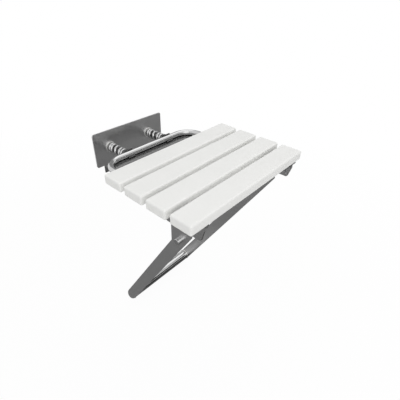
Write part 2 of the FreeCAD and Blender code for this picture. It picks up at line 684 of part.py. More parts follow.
def leg_bracket():
    """Folded angle: ear beside the arm, and a flange screwed up into the slats."""
    outline = bracket_outline(BRACKET_INNER)
    ear = profile(outline).extrude(X_AXIS * BRACKET_SHEET)
    ear = rounded_near(ear, outline[2], BRACKET_NOSE_R)
    ear = rounded_near(ear, outline[3], BRACKET_TAIL_R)
    flange = block(at(BRACKET_INNER, outline[0].y, SLAT_UNDER - BRACKET_SHEET),
                   at(BRACKET_OUTER + BRACKET_FLANGE, outline[-1].y, SLAT_UNDER))
    flange = flange.makeFillet(BRACKET_NOSE_R, [e for e in edges_along(flange, Z_AXIS)
                                                if e.BoundBox.XMin > BRACKET_OUTER])
    bead_y = SEAT_FRONT + BEAD_SETBACK
    bead_top = SLAT_UNDER - BEAD_TOP_GAP
    bead_bottom = SLAT_UNDER - BRACKET_DROP + BEAD_BOTTOM_GAP
    bead_x = BRACKET_OUTER + BEAD_PRESS - BEAD_R
    bead = rod(BEAD_R, at(bead_x, bead_y, bead_bottom), at(bead_x, bead_y, bead_top))
    bead = bead.fuse(Part.makeSphere(BEAD_R, at(bead_x, bead_y, bead_bottom)))
    bead = bead.common(block(at(BRACKET_INNER, -LONG, -LONG), at(LONG, LONG, LONG)))
    groove = rod(BEAD_GROOVE_R, at(BRACKET_INNER, bead_y, bead_bottom), at(BRACKET_INNER, bead_y, bead_top))
    pin_hole = rod(PIN_D / 2 + HOLE_CLEAR, at(0, PIN_Y, PIN_Z), at(LONG, PIN_Y, PIN_Z))
    bracket = ear.fuse([flange, bead]).cut(groove).cut(pin_hole)
    for spot in bracket_screw_spots():
        through = spot + Z_AXIS * (BRACKET_SHEET + 1)
        bracket = bracket.cut(rod(SCREW_D / 2 + HOLE_CLEAR, spot - Z_AXIS, through))
    return solid_of(bracket)


def leg_ear():
    """Plate welded inside the tube's side run, with the pin's second hole."""
    top = BAR_Z + TUBE_R / 2
    bottom = SLAT_UNDER - BRACKET_DROP
    start = at(EAR_INNER, PIN_Y - EAR_LENGTH / 2, bottom)
    ear = block(start, at(EAR_OUTER, PIN_Y + EAR_LENGTH / 2, top))
    lower = [e for e in edges_along(ear, X_AXIS) if e.BoundBox.ZMax < bottom + 1]
    ear = ear.makeFillet(EAR_CORNER_R, lower)
    return solid_of(ear.cut(rod(PIN_D / 2 + HOLE_CLEAR, at(0, PIN_Y, PIN_Z), at(LONG, PIN_Y, PIN_Z))))


def build():
    os.makedirs("parts", exist_ok=True)
    save("wall_plate", wall_plate())
    save("wall_studs", *[wall_stud(x * STUD_SPACING_X / 2, z * STUD_SPACING_Z / 2)
                         for x in (-1, 1) for z in (-1, 1)])
    pair("guide_rod", guide_rod())
    pair("spring_washer", spring_washer())
    for name, side in SIDES.items():
        save(f"coil_spring_{name}", coil_spring(side * STANDOFF_OFFSET))
    pair("bar_cradle", bar_cradle())
    pair("cradle_liner", cradle_liner())
    save("seat_tube", seat_tube())
    pair("tube_plug", tube_plug())
    save("rear_channel", rear_channel())
    for number, middle_y in enumerate(SLAT_MIDDLES, 1):
        save(f"slat_{number}", slat(middle_y))
    save("slat_screws", *[slat_screw(spot) for spot in tube_screw_spots()])
    save("bracket_screws", *[slat_screw(spot) for spot in bracket_screw_spots()])
    pair("leg_bracket", leg_bracket())
    pair("leg_ear", leg_ear())
    pair("leg_pin", leg_pin())
    pair("pin_clip", pin_clip())
    pair("leg_arm", leg_arm())
    pair("arm_bush", arm_bush())
    pair("pin_spacer", pin_spacer())
    save("leg_stretcher", leg_stretcher())
    save("foot_tube", foot_tube())
    report_spring_gap()


build()
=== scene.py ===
# %% [markdown]
# # A fold down wall seat
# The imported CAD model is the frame: plate, stand-offs, tube, slats and leg are already in place,
# in metres. Every finish and every small extra piece below is built round it, and nothing in the
# frame is moved.

# %% Load the frame
import math

import bmesh
import bpy
from mathutils import Matrix, Vector


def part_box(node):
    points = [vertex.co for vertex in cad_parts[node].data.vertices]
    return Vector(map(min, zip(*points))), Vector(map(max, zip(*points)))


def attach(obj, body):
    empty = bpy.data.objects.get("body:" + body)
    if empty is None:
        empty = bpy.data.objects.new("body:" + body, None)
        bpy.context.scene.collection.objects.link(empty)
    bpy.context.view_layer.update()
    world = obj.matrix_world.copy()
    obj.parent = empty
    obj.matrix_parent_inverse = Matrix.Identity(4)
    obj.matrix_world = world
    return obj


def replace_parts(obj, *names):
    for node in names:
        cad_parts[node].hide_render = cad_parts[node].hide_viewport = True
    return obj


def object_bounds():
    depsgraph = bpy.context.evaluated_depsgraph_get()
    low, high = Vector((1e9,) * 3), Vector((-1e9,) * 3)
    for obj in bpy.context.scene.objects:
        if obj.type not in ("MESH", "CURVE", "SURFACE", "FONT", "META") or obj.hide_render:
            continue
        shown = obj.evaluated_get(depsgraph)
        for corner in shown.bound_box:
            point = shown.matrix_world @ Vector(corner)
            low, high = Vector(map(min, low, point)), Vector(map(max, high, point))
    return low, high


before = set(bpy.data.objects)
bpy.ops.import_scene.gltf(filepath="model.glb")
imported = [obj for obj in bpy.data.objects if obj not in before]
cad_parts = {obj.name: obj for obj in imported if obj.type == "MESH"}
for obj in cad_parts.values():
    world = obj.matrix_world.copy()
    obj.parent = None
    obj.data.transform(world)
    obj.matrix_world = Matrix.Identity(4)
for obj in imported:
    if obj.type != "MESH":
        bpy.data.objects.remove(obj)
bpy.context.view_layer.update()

scene = bpy.context.scene

# %% [markdown]
# ## Camera
# The picture was taken close up with a wide lens, so lines that run to the wall draw together
# quickly. A camera could be pushed about until the view looks right, but here it is placed by
# numbers: where it stands, which way it looks and its focal length. All three were worked out from
# the corners of the slats, the plate and the leg, so the render lines up with the picture.

# %% Place the camera
LENS_MM, SENSOR_MM = 29.0, 36.0
NEAREST_M = 0.01             # anything nearer to the lens than this isn't drawn
# How far the camera is turned, looks down and is tilted, in degrees.
AZIMUTH, ELEVATION, ROLL = (math.radians(a) for a in (-49.2, 35.58, 1.6))
CAMERA_AT = Vector((-0.4566, -0.6384, 0.3584))

forward = Vector((-math.sin(AZIMUTH) * math.cos(ELEVATION),
                  math.cos(AZIMUTH) * math.cos(ELEVATION), -math.sin(ELEVATION)))
level = forward.cross(Vector((0, 0, 1))).normalized()
up = level.cross(forward)
right = level * math.cos(ROLL) + up * math.sin(ROLL)
up = right.cross(forward)
camera = bpy.data.objects.new("camera", bpy.data.cameras.new("camera"))
camera.data.lens = LENS_MM
camera.data.sensor_width = SENSOR_MM
camera.data.clip_start = NEAREST_M
turn = Matrix((right, up, -forward)).transposed().to_4x4()
camera.matrix_world = Matrix.Translation(CAMERA_AT) @ turn
scene.collection.objects.link(camera)
scene.camera = camera
print("camera looks along", [round(v, 3) for v in forward])

# %% [markdown]
# ## Helpers for materials
# Colours are chosen as sRGB hex, the way a paint chart gives them, but shaders work in linear
# light, so one function converts them. A second one adds a shader node, sets it up and links it in
# one call, because a finish is then read from top to bottom. A third one starts a material.

# %% Colour and node helpers
MM = 0.001                   # a millimetre in the frame's metres
MIX_A, MIX_B, MIX_RESULT = 6, 7, 2      # where a Mix node keeps its colour sockets


def linear(hex_colour):
    """sRGB hex to the linear RGBA that shaders use."""
    parts = [int(hex_colour[i:i + 2], 16) / 255 for i in (1, 3, 5)]
    return [c / 12.92 if c <= 0.04045 else ((c + 0.055) / 1.055) ** 2.4 for c in parts] + [1.0]


def add_node(tree, kind, inputs=(), **settings):
    """Adds a node. Each input is set to a value, or linked when it is another node's output."""
    node = tree.nodes.new(kind)
    for key, value in settings.items():
        setattr(node, key, value)
    for key, value in dict(inputs).items():
        if isinstance(value, bpy.types.NodeSocket):
            tree.links.new(value, node.inputs[key])
        else:
            node.inputs[key].default_value = value
    return node


def new_material(name):
    """An empty material with its output, and the place in metres that patterns are measured by."""
    material = bpy.data.materials.new(name)
    material.use_nodes = True
    tree = material.node_tree
    tree.nodes.clear()
    place = add_node(tree, "ShaderNodeTexCoord").outputs["Object"]
    output = add_node(tree, "ShaderNodeOutputMaterial")
    return material, tree, place, output


print("white plastic in linear light", [round(c, 3) for c in linear("#EBEBE9")[:3]])

# %% [markdown]
# ## White polypropylene
# Shower seat slats are injection moulded in polypropylene. The mould is lightly spark eroded, which
# leaves a fine satin grain. Long parts show a very faint cloudiness where the melt flowed, and
# light sinks a few millimetres into the plastic, so its edges look soft. A picture of plastic could
# be wrapped round each slat, but noise needs no unwrapping and stays sharp close up: a fine noise
# is the grain's bump, and a much larger one shifts the white by a percent or two. A noise's scale
# says how many of its spots fit in a metre, so it is 1000 divided by their size in mm.

# %% Moulded polypropylene
GRAIN_MM = 0.9               # real grain is about 0.2 mm; drawn coarser so that it shows
CLOUD_MM = 1000 / 18         # 18 to a metre, so about 56 mm wide, as on a real slat
LIGHT_SINKS_MM = 6


def moulded_plastic(name, pale, dull):
    """A satin, slightly translucent skin with a fine grain and faint clouds of two colours."""
    material, tree, place, output = new_material(name)
    flow = add_node(tree, "ShaderNodeTexNoise", {
        "Vector": place, "Scale": 1000 / CLOUD_MM, "Detail": 3.0})
    tint = add_node(tree, "ShaderNodeMix", {
        "Factor": flow.outputs["Fac"], MIX_A: linear(dull), MIX_B: linear(pale)}, data_type="RGBA")
    grain = add_node(tree, "ShaderNodeTexNoise", {
        "Vector": place, "Scale": 1000 / GRAIN_MM, "Detail": 2.0})
    bump = add_node(tree, "ShaderNodeBump", {
        "Height": grain.outputs["Fac"], "Strength": 0.12, "Distance": 0.2 * MM})
    satin = add_node(tree, "ShaderNodeMapRange", {
        "Value": flow.outputs["Fac"], "To Min": 0.38, "To Max": 0.5})
    shader = add_node(tree, "ShaderNodeBsdfPrincipled", {
        "Base Color": tint.outputs[MIX_RESULT], "Roughness": satin.outputs[0],
        "Normal": bump.outputs[0], "IOR": 1.49, "Subsurface Weight": 0.25,
        "Subsurface Radius": (1.0, 1.0, 1.0), "Subsurface Scale": LIGHT_SINKS_MM * MM})
    tree.links.new(shader.outputs[0], output.inputs[0])
    return material


# A warm white that is bright without glare: the eye reads it as clean, dry plastic.
polypropylene = moulded_plastic("white moulded polypropylene", "#EBEBE9", "#E6E6E4")
print("made", polypropylene.name)

# %% [markdown]
# ## Stainless steel
# Plate, arms and brackets are cut from stainless sheet and polished, but a polishing belt always
# leaves fine parallel lines. A shader's anisotropy could smear the highlights, but it takes its
# direction from how a mesh is unwrapped. Stretching one noise along the belt's direction needs only
# the piece's own axes. Its lines roughen the reflection a little and bend it, which smears
# highlights across them as on the real sheet. Wiping leaves larger, hardly visible smears.

# %% Stainless with the lines of the tool that finished it
BELT_LINE_MM = 0.6           # real lines are nearer 0.1 mm; drawn coarser so that they show
LINE_STRETCH = 80            # a line is this many times longer than it is wide
SMEAR_MM = 1000 / 22         # about 45 mm, the width of a cloth under two fingers


def lined_stainless(name, colour, rough, depth, tilt_deg=0.0, along="x"):
    """Lines run along X, or along Z tilted about X for the slanting arms. They and the smears
    swing the roughness between 0.9 and 1.15 of its value."""
    material, tree, place, output = new_material(name)
    turned = add_node(tree, "ShaderNodeMapping", {
        "Vector": place, "Rotation": (math.radians(tilt_deg), 0.0, 0.0)})
    fine = 1000 / BELT_LINE_MM
    drawn_out = fine / LINE_STRETCH
    stretch = (drawn_out, fine, fine) if along == "x" else (fine, fine, drawn_out)
    laid = add_node(tree, "ShaderNodeMapping", {"Vector": turned.outputs[0], "Scale": stretch})
    lines = add_node(tree, "ShaderNodeTexNoise", {
        "Vector": laid.outputs[0], "Scale": 1.0, "Detail": 3.0})
    smears = add_node(tree, "ShaderNodeTexNoise", {
        "Vector": place, "Scale": 1000 / SMEAR_MM, "Detail": 4.0, "Roughness": 0.6})
    tint = add_node(tree, "ShaderNodeMapRange", {
        "Value": smears.outputs["Fac"], "To Min": 0.97, "To Max": 1.02})
    base = add_node(tree, "ShaderNodeVectorMath", {
        0: linear(colour)[:3], "Scale": tint.outputs[0]}, operation="SCALE")
    both = add_node(tree, "ShaderNodeMath", {
        0: lines.outputs["Fac"], 1: smears.outputs["Fac"]}, operation="ADD")
    satin = add_node(tree, "ShaderNodeMapRange", {
        "Value": both.outputs[0], "From Min": 0.6, "From Max": 1.4,
        "To Min": rough * 0.9, "To Max": rough * 1.15})
    bump = add_node(tree, "ShaderNodeBump", {
        "Height": lines.outputs["Fac"], "Strength": depth, "Distance": 0.2 * MM})
    shader = add_node(tree, "ShaderNodeBsdfPrincipled", {
        "Base Color": base.outputs[0], "Metallic": 1.0, "Roughness": satin.outputs[0],
        "Normal": bump.outputs[0]})
    tree.links.new(shader.outputs[0], output.inputs[0])
    return material


print("a line is", BELT_LINE_MM, "mm wide and", BELT_LINE_MM * LINE_STRETCH, "mm long")

# %% [markdown]
# Each stainless piece was finished in its own way, and the eye tells them apart by how sharp their
# reflections are and how much light they return. So all of them share one function, and each has
# its own brightness, roughness and depth of line.

# %% The stainless pieces
# Satin sheet: what stands round the plate shows in it only as soft bands.
plate_steel = lined_stainless("belt polished stainless plate", "#CCCCCC", 0.34, 0.02)
# Channel and ears have a darker skin with deeper lines: a quiet grey behind the bright tube.
sheet_steel = lined_stainless("belt polished stainless sheet", "#9A9A9A", 0.22, 0.05)
# A closer polish than the plate's, so the bracket's pressed bead catches a line of light.
bracket_steel = lined_stainless("belt polished stainless bracket", "#D0D0D0", 0.24, 0.02)
# Glass beads leave tiny dents that scatter light evenly: a pale, matt ring on the plate.
washer_steel = lined_stainless("bead blasted stainless washer", "#F0F0EE", 0.5, 0.02)
# Cast metal keeps the mould's rough skin, dark and dull beside anything polished.
cast_steel = lined_stainless("cast stainless", "#6E6E6E", 0.5, 0.02)
# A rod drawn through a die stays half dull, so the spring round it stands out.
rod_steel = lined_stainless("drawn stainless rod", "#9C9C9C", 0.34, 0.02)
# The arms are polished along their length: an even grey that hints at the foot tube beside it.
arm_steel = lined_stainless("belt polished stainless arm", "#CCCCCC", 0.3, 0.02,
                            tilt_deg=28.0, along="z")
# Lathe marks are deeper than belt marks, which makes screws and pins glitter a little.
turned_steel = lined_stainless("turned stainless", "#C8C8C6", 0.24, 0.08)
# A weld is brushed clean by hand: paler and a trace warmer than the metal on both sides of it.
weld_steel = lined_stainless("brushed stainless weld", "#D8D6D2", 0.26, 0.02)
print("made", [m.name for m in bpy.data.materials if "stainless" in m.name])

# %% [markdown]
# ## Bright chrome
# The seat tube, the stretcher, the foot tube and the springs are mirror bright, and nearly all of
# their look is reflection. No roughness at all would give a perfect mirror, which looks computed
# and not made. So the roughness is very low, and a few faint smears dull it here and there.

# %% Mirror-bright chrome
CHROME_SMEAR_MM = 1000 / 60  # about 17 mm, or a little wider than the seat tube


def bright_chrome(name, colour, rough):
    """A mirror whose smears are up to 1.8 times as rough as its clean parts."""
    material, tree, place, output = new_material(name)
    smears = add_node(tree, "ShaderNodeTexNoise", {
        "Vector": place, "Scale": 1000 / CHROME_SMEAR_MM, "Detail": 5.0})
    haze = add_node(tree, "ShaderNodeMapRange", {
        "Value": smears.outputs["Fac"], "From Min": 0.35, "From Max": 0.75,
        "To Min": rough, "To Max": rough * 1.8})
    tint = add_node(tree, "ShaderNodeMapRange", {
        "Value": smears.outputs["Fac"], "To Min": 0.95, "To Max": 1.03})
    base = add_node(tree, "ShaderNodeVectorMath", {
        0: linear(colour)[:3], "Scale": tint.outputs[0]}, operation="SCALE")
    shader = add_node(tree, "ShaderNodeBsdfPrincipled", {
        "Base Color": base.outputs[0], "Metallic": 1.0, "Roughness": haze.outputs[0]})
    tree.links.new(shader.outputs[0], output.inputs[0])
    return material


# Bent tube shows the studio as one white line with a dark line under it.
tube_chrome = bright_chrome("bright chrome tube", "#C6C6C6", 0.07)
# The foot tube looks at the floor under the seat, so its chrome is painted a shade greyer than the
# seat tube's: painted shade.
foot_chrome_painted_shade = bright_chrome("bright chrome foot tube with painted shade", "#BABABA", 0.07)
# Drawn wire is less smooth than tube, so the lights on the coils are a little softer.
wire_chrome = bright_chrome("bright spring wire", "#C0C0C0", 0.12)
print("made", tube_chrome.name, foot_chrome_painted_shade.name, wire_chrome.name)

# %% [markdown]
# ## Nylon
# The tube's end plugs are grey nylon, moulded like the slats, so they share that skin. Liners and
# bushes are black nylon: a soft, slightly waxy black that never goes quite dark, because the
# moulded skin scatters a little light. Black lets no light through, so its shader needs no depth,
# only a weak bump that breaks up the highlight.

# %% Moulded nylon
SKIN_MM = 1000 / 900         # real skin is nearer 0.2 mm; drawn coarser so that it shows

grey_nylon = moulded_plastic("grey moulded nylon", "#606060", "#5A5A5A")

black_nylon, tree, place, output = new_material("black moulded nylon")
skin = add_node(tree, "ShaderNodeTexNoise", {
    "Vector": place, "Scale": 1000 / SKIN_MM, "Detail": 2.0})
bump = add_node(tree, "ShaderNodeBump", {
    "Height": skin.outputs["Fac"], "Strength": 0.15, "Distance": 0.1 * MM})
tint = add_node(tree, "ShaderNodeMix", {
    "Factor": skin.outputs["Fac"], MIX_A: linear("#151515"), MIX_B: linear("#1E1E1E")},
    data_type="RGBA")
shader = add_node(tree, "ShaderNodeBsdfPrincipled", {
    "Base Color": tint.outputs[MIX_RESULT], "Roughness": 0.46, "Normal": bump.outputs[0],
    "IOR": 1.53})
tree.links.new(shader.outputs[0], output.inputs[0])
print("made", grey_nylon.name, black_nylon.name)

# %% [markdown]
# ## Finishes on the frame's pieces
# Each CAD piece is already the right shape, so it only needs its finish. Finishes could be given
# one by one, but the names of the pieces say what they are, so a short table from the start of a
# name to a material dresses all of them. The first row that fits counts, so slat_screws comes
# before slat.

# %% Dress the frame
FINISHES = {
    "slat_screws": turned_steel, "bracket_screws": turned_steel, "slat": polypropylene,
    "wall_plate": plate_steel, "wall_studs": turned_steel,
    "guide_rod": rod_steel, "spring_washer": washer_steel, "coil_spring": wire_chrome,
    "bar_cradle": cast_steel, "cradle_liner": black_nylon, "rear_channel": sheet_steel,
    "seat_tube": tube_chrome, "tube_plug": grey_nylon,
    "leg_bracket": bracket_steel, "leg_ear": sheet_steel, "leg_pin": turned_steel,
    "pin_clip": turned_steel, "pin_spacer": turned_steel, "arm_bush": black_nylon,
    "leg_arm": arm_steel, "leg_stretcher": tube_chrome, "foot_tube": foot_chrome_painted_shade,
}
for name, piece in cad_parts.items():
    finish = next(m for start, m in FINISHES.items() if name.startswith(start))
    for slot in piece.material_slots:
        slot.material = finish
print("dressed", len(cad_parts), "pieces")

# %% [markdown]
# ## Softened edges
# Cut sheet never ends in a perfectly sharp edge, and the thin line of light along an edge is what
# tells the eye so. A shader can fake that line, but a bevel modifier cuts a real narrow facet along
# every crisp edge, so it is there from every side, and the CAD mesh under it stays untouched.

# %% Bevel the crisp edges
EDGE_MM = {"wall_plate": 0.5, "rear_channel": 0.4, "leg_bracket": 0.4, "leg_ear": 0.4,
           "leg_arm": 0.5}
CRISP_DEG = 40               # edges that turn less than this belong to a rounded face
for name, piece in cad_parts.items():
    for start, width in EDGE_MM.items():
        if name.startswith(start):
            soften = piece.modifiers.new("softened edge", "BEVEL")
            soften.width = width * MM
            soften.segments = 2
            soften.limit_method = "ANGLE"
            soften.angle_limit = math.radians(CRISP_DEG)
            soften.harden_normals = True
print("bevelled", sum(bool(p.modifiers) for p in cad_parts.values()), "pieces")

# %% [markdown]
# ## From rings of points to a piece
# Threads, sockets and weld beads are nearly round, but their radius changes on the way round or
# along. They could be cut from a plain rod with booleans, which leave ragged faces. Rings of points
# along a line, joined ring to ring, can have any radius at any point and give even faces. One
# helper joins the rings, and another makes a piece of the result, which moves with its body.

# %% Join rings and place a piece
AROUND = 36                  # points in a ring
ANGLES = [2 * math.pi * i / AROUND for i in range(AROUND)]
SMOOTH_DEG = 38              # faces that meet at less than this are shaded as one


def join_rings(mesh, rings, closed=False):
    """Joins rings of equally many points into one skin, capped unless it is a closed loop."""
    rows = [[mesh.verts.new(point) for point in ring] for ring in rings]
    pairs = list(zip(rows, rows[1:])) + ([(rows[-1], rows[0])] if closed else [])
    for low, high in pairs:
        for i in range(len(low)):
            j = (i + 1) % len(low)
            mesh.faces.new((low[i], low[j], high[j], high[i]))
    if not closed:
        mesh.faces.new(rows[0][::-1])
        mesh.faces.new(rows[-1])


def place_piece(name, mesh, finish, body):
    """Makes the object, smooths it where its faces meet gently, and lets it ride on a body."""
    bmesh.ops.recalc_face_normals(mesh, faces=mesh.faces)
    data = bpy.data.meshes.new(name)
    mesh.to_mesh(data)
    mesh.free()
    data.shade_smooth()
    data.set_sharp_from_angle(angle=math.radians(SMOOTH_DEG))
    data.materials.append(finish)
    piece = bpy.data.objects.new(name, data)
    scene.collection.objects.link(piece)
    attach(piece, body)
    print(name, len(data.polygons), "faces on", body)
    return piece


print("points in a ring", len(ANGLES))

# %% [markdown]
# ## Threaded studs
# Four studs hold the plate to the wall. Their thread is rolled: one ridge winds round the rod and
# moves 1.25 mm along with each turn. A profile could be swept along a drawn spiral, but here each
# point's radius depends on how far along the stud it is and on its angle, so the ridge winds by
# itself. It stays inside the CAD stud's 8 mm.

# %% Wall studs with rolled thread
STUD_X, STUD_Z = 75, 18      # mm from the plate's middle
STUD_LENGTH, STUD_CREST, STUD_ROOT, STUD_PITCH = 40.0, 4.0, 3.3, 1.25
STUD_CHAMFER = 1.0           # cut at 45 degrees, so that a nut finds its way on
CREST_CUT = 1.25             # the wave is this many times too high, and its top is cut off flat
RINGS_PER_TURN = 6
STUD_ANGLES = ANGLES[::2]    # a stud this thin looks round with every second point


def thread_radius(along, angle):
    """A triangle wave between root and crest that winds once for each pitch."""
    turn = (along / STUD_PITCH - angle / (2 * math.pi)) % 1.0
    wave = min(1.0, CREST_CUT * (1 - abs(2 * turn - 1)))
    ridge = STUD_ROOT + (STUD_CREST - STUD_ROOT) * wave
    return min(ridge, STUD_CREST - max(0.0, along - (STUD_LENGTH - STUD_CHAMFER)))


def stud_ring(x, y, z):
    """The thread's outline at y mm behind the plate's back."""
    return [((x + thread_radius(y, a) * math.cos(a)) * MM, y * MM,
             (z + thread_radius(y, a) * math.sin(a)) * MM) for a in STUD_ANGLES]


studs = bmesh.new()
steps = round(STUD_LENGTH / STUD_PITCH * RINGS_PER_TURN)
for x in (-STUD_X, STUD_X):
    for z in (-STUD_Z, STUD_Z):
        join_rings(studs, [stud_ring(x, STUD_LENGTH * i / steps, z) for i in range(steps + 1)])
stud_piece = place_piece("threaded_studs", studs, turned_steel, "wall")
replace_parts(stud_piece, "wall_studs")

# %% [markdown]
# ## Screws with a six-lobed socket
# The slats and brackets are screwed on from below, with low pan heads. The socket is pressed into
# the head, with six round lobes for the driver. It could be a dark patch on the head, but from
# below it is seen close up, so it is a real hole: a ring whose radius swings six times round, and
# the same ring again, deeper and a little smaller.

# %% Screws under the seat
SHANK_R, TIP_R, TIP_LENGTH, TIP_Z = 2.4, 0.6, 3.0, 27.5
HEAD_R, HEAD_H = 4.5, 2.6
# Each ring of the pan head: its height from the face that the head presses on, and its radius.
PAN = [(0.0, HEAD_R), (-1.3, HEAD_R), (-1.8, 4.3), (-2.25, 3.85), (-2.5, 3.3), (-HEAD_H, 2.7)]
SOCKET_R, LOBE_R, LOBES = 1.75, 0.28, 6
# Each ring of the socket: its height from the same face, and its share of the socket's size.
SOCKET = [(-HEAD_H, 1.0), (-2.45, 0.94), (-1.2, 0.9)]


def level_ring(x, y, z, radius_at):
    """A level ring about an upright screw. Its radius may change with the angle."""
    return [((x + radius_at(a) * math.cos(a)) * MM, (y + radius_at(a) * math.sin(a)) * MM, z * MM)
            for a in ANGLES]


def screw_rings(x, y, face_z):
    """From the tip inside the slat, down the shank, over the pan head and up into the socket."""
    rounds = [(TIP_Z, TIP_R), (TIP_Z - TIP_LENGTH, SHANK_R), (face_z, SHANK_R)]
    rounds += [(face_z + drop, radius) for drop, radius in PAN]
    rings = [level_ring(x, y, z, lambda a: radius) for z, radius in rounds]
    for drop, share in SOCKET:
        rings.append(level_ring(x, y, face_z + drop, lambda a: share * (
            SOCKET_R + LOBE_R * math.cos(LOBES * a))))
    return rings


print("rings in a screw", len(screw_rings(0, 0, 0)))

# %% [markdown]
# The screws stand where the CAD has them. Before they take its place, the bottom of its screws is
# measured, so a change in the CAD can't leave the heads hanging in the air unnoticed.

# %% Put the screws in place
# The frame's name: places in X, places in Y and height of the face under the head, in mm.
SCREWS = {
    "slat_screws": ((-134, 134), (-179.5, -239.3, -299.1, -358.9), 1.5),
    "bracket_screws": ((-157, 157), (-366, -296), 12.5),
}
CLOSE_ENOUGH_MM = 0.05
for name, (across, along, face_z) in SCREWS.items():
    bottom_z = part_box(name)[0][2] / MM
    assert abs(bottom_z - (face_z - HEAD_H)) < CLOSE_ENOUGH_MM, "heads must sit as in the CAD"
    screws = bmesh.new()
    for x in across:
        for y in along:
            join_rings(screws, screw_rings(x, y, face_z))
    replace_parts(place_piece("socket_" + name, screws, turned_steel, "seat"), name)

# %% [markdown]
# ## Weld beads
# Tubes and sheets that can't come apart are welded: the foot tube between the arms, the stretcher
# in its holes, the channel under the cross bar and the ears inside the side tubes. A bead is a row
# of small frozen ripples. A bump could draw them on a smooth bead, but the bead shows in outline,
# so its ripples are shape: a round section follows the joint, and its radius swells once per
# ripple.

# %% Weld bead along a line
RIPPLE_MM = 1.6              # ripples of a hand-fed weld are nearer 1 mm; drawn a little coarser
RIPPLE_SWELL = 0.13          # share of the radius that a ripple adds
END_SHARE, END_RISE = 0.25, 1.2         # how thin an open end is, and how fast it thickens
BEAD_AROUND = 12
BEAD_ANGLES = [2 * math.pi * k / BEAD_AROUND for k in range(BEAD_AROUND)]


def distances_along(path):
    """How far each point lies from the first one, measured along the path."""
    so_far = [0.0]
    for behind, point in zip(path, path[1:]):
        so_far.append(so_far[-1] + (point - behind).length)
    return so_far


def weld_bead(mesh, path, radius, closed):
    """Lays a rippled bead along points in mm. An open bead thins out at its ends."""
    so_far = distances_along(path)
    length = so_far[-1] + ((path[0] - path[-1]).length if closed else 0.0)
    ripples = max(1, round(length / RIPPLE_MM)) / length
    rings, across = [], None
    for i, point in enumerate(path):
        ahead = path[(i + 1) % len(path)] if closed or i + 1 < len(path) else point
        behind = path[i - 1] if closed or i else point
        along = (ahead - behind).normalized()
        # Each section takes its start from the last one, so the bead doesn't twist.
        across = along.orthogonal() if across is None else across - along * across.dot(along)
        across = across.normalized()
        other = along.cross(across)
        swell = 1 + RIPPLE_SWELL * abs(math.sin(math.pi * so_far[i] * ripples))
        if not closed:
            from_end = min(so_far[i], length - so_far[i])
            swell *= min(1.0, END_SHARE + END_RISE * from_end / radius)
        rings.append([(point + (across * math.cos(a) + other * math.sin(a)) * radius * swell) * MM
                      for a in BEAD_ANGLES])
    join_rings(mesh, rings, closed)


print("a ripple each", RIPPLE_MM, "mm")

# %% [markdown]
# The foot tube and the stretcher meet the leaning arms at a slant, so their beads aren't plain
# circles. Where the joint runs could be worked out from the arms' lean, but the frame already has
# it: the points of the foot tube's end, and those of the arm's hole. They are few, so the ring
# between them is filled in.

# %% Find a slanted joint in the frame
RING_POINTS = 300
ONE_SIDE_MM = 60             # points nearer to the middle than this aren't part of the joint


def corner_points(node, middle, rim, side, outermost):
    """Corners of a joint about an axis along X: a piece's points at the rim's distance from it."""
    outwards = side if outermost else -side
    found = {}
    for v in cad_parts[node].data.vertices:
        p = v.co / MM
        reach = math.hypot(p.y - middle[0], p.z - middle[1])
        if p.x * side > ONE_SIDE_MM and rim[0] < reach < rim[1]:
            angle = round(math.atan2(p.z - middle[1], p.y - middle[0]), 3)
            if angle not in found or (p.x - found[angle].x) * outwards > 0:
                found[angle] = p.copy()
    return list(found.values())


def slanted_ring(points, middle):
    """Evenly spaced points round a joint about an axis along X, from its few corner points."""
    corners = sorted((math.atan2(p.z - middle[1], p.y - middle[0]), p) for p in points)
    angles = [a for a, _ in corners]
    ring = []
    for i in range(RING_POINTS):
        a = -math.pi + 2 * math.pi * i / RING_POINTS
        k = next((j for j, b in enumerate(angles) if b > a), 0)
        near, far = corners[k - 1][1], corners[k][1]
        span = (angles[k] - angles[k - 1]) % (2 * math.pi)
        part = ((a - angles[k - 1]) % (2 * math.pi)) / span if span else 0.0
        reach = math.hypot(near.y - middle[0], near.z - middle[1])
        ring.append(Vector((near.x + (far.x - near.x) * part,
                            middle[0] + reach * math.cos(a), middle[1] + reach * math.sin(a))))
    return ring


print("points round a slanted joint", RING_POINTS)

# %% Beads on the leg
# Y and Z of each joint's axis, the distances between which its rim lies, and its bead's radius.
FOOT, FOOT_RIM, FOOT_BEAD = (-83.0, -440.5), (14.8, 15.2), 1.2
STRETCHER, HOLE_RIM, STRETCHER_BEAD = (-321.3, -51.9), (6.0, 6.8), 1.1
beads = bmesh.new()
for side, hand in ((-1, "left"), (1, "right")):
    foot_edge = corner_points("foot_tube", FOOT, FOOT_RIM, side, outermost=True)
    weld_bead(beads, slanted_ring(foot_edge, FOOT), FOOT_BEAD, closed=True)
    hole_edge = corner_points("leg_arm_" + hand, STRETCHER, HOLE_RIM, side, outermost=False)
    weld_bead(beads, slanted_ring(hole_edge, STRETCHER), STRETCHER_BEAD, closed=True)
    print(hand, "foot edge points", len(foot_edge), "hole edge points", len(hole_edge))
place_piece("leg_weld_beads", beads, weld_steel, "leg")

# %% [markdown]
# The channel and the ears only touch the round tube along a line, which leaves a wedge-shaped gap
# beside it. The welder fills that gap with short stitches, because a long weld would warp the thin
# tube. The channel's stitches are on its wall side, because the front side shows one unbroken dark
# line under the tube.

# %% Beads on the seat
BEAD_STEP_MM = 0.2           # close enough together to show the ripples


def straight(start, end):
    """Points along a straight joint."""
    start, end = Vector(start), Vector(end)
    count = round((end - start).length / BEAD_STEP_MM)
    return [start.lerp(end, i / count) for i in range(count + 1)]


